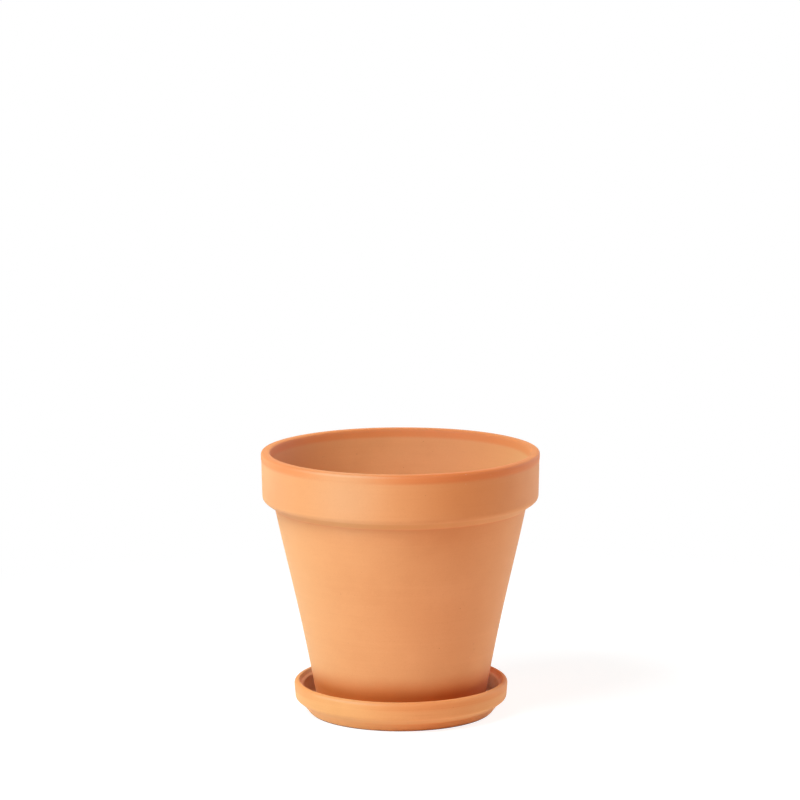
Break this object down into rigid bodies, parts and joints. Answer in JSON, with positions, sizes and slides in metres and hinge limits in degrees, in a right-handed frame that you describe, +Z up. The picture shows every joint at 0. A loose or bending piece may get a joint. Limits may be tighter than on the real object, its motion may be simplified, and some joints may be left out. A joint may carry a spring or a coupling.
{
  "type": "flower pot with saucer",
  "caption": "Round terracotta flower pot with a straight collar rim and a drainage hole, standing loose in its own shallow saucer.",
  "frame": {"origin": "centre of the saucer's foot, on the surface that it stands on", "axes": "+Z up along the axis that both pieces are turned about; +X to the right and -Y to the front, which are arbitrary because the pot is round"},
  "size_m": [0.2704, 0.2704, 0.257],
  "materials": {
    "terracotta_saucer": "matte unglazed clay",
    "terracotta_pot": "matte unglazed clay"
  },
  "bodies": {
    "saucer": {"saucer": "terracotta_saucer"},
    "pot": {"pot": "terracotta_pot"}
  },
  "joints": [
    {"name": "pot_lift", "type": "slide", "parent": "saucer", "child": "pot", "axis": [0, 0, 1], "range_m": [0, 0.08]}
  ]
}
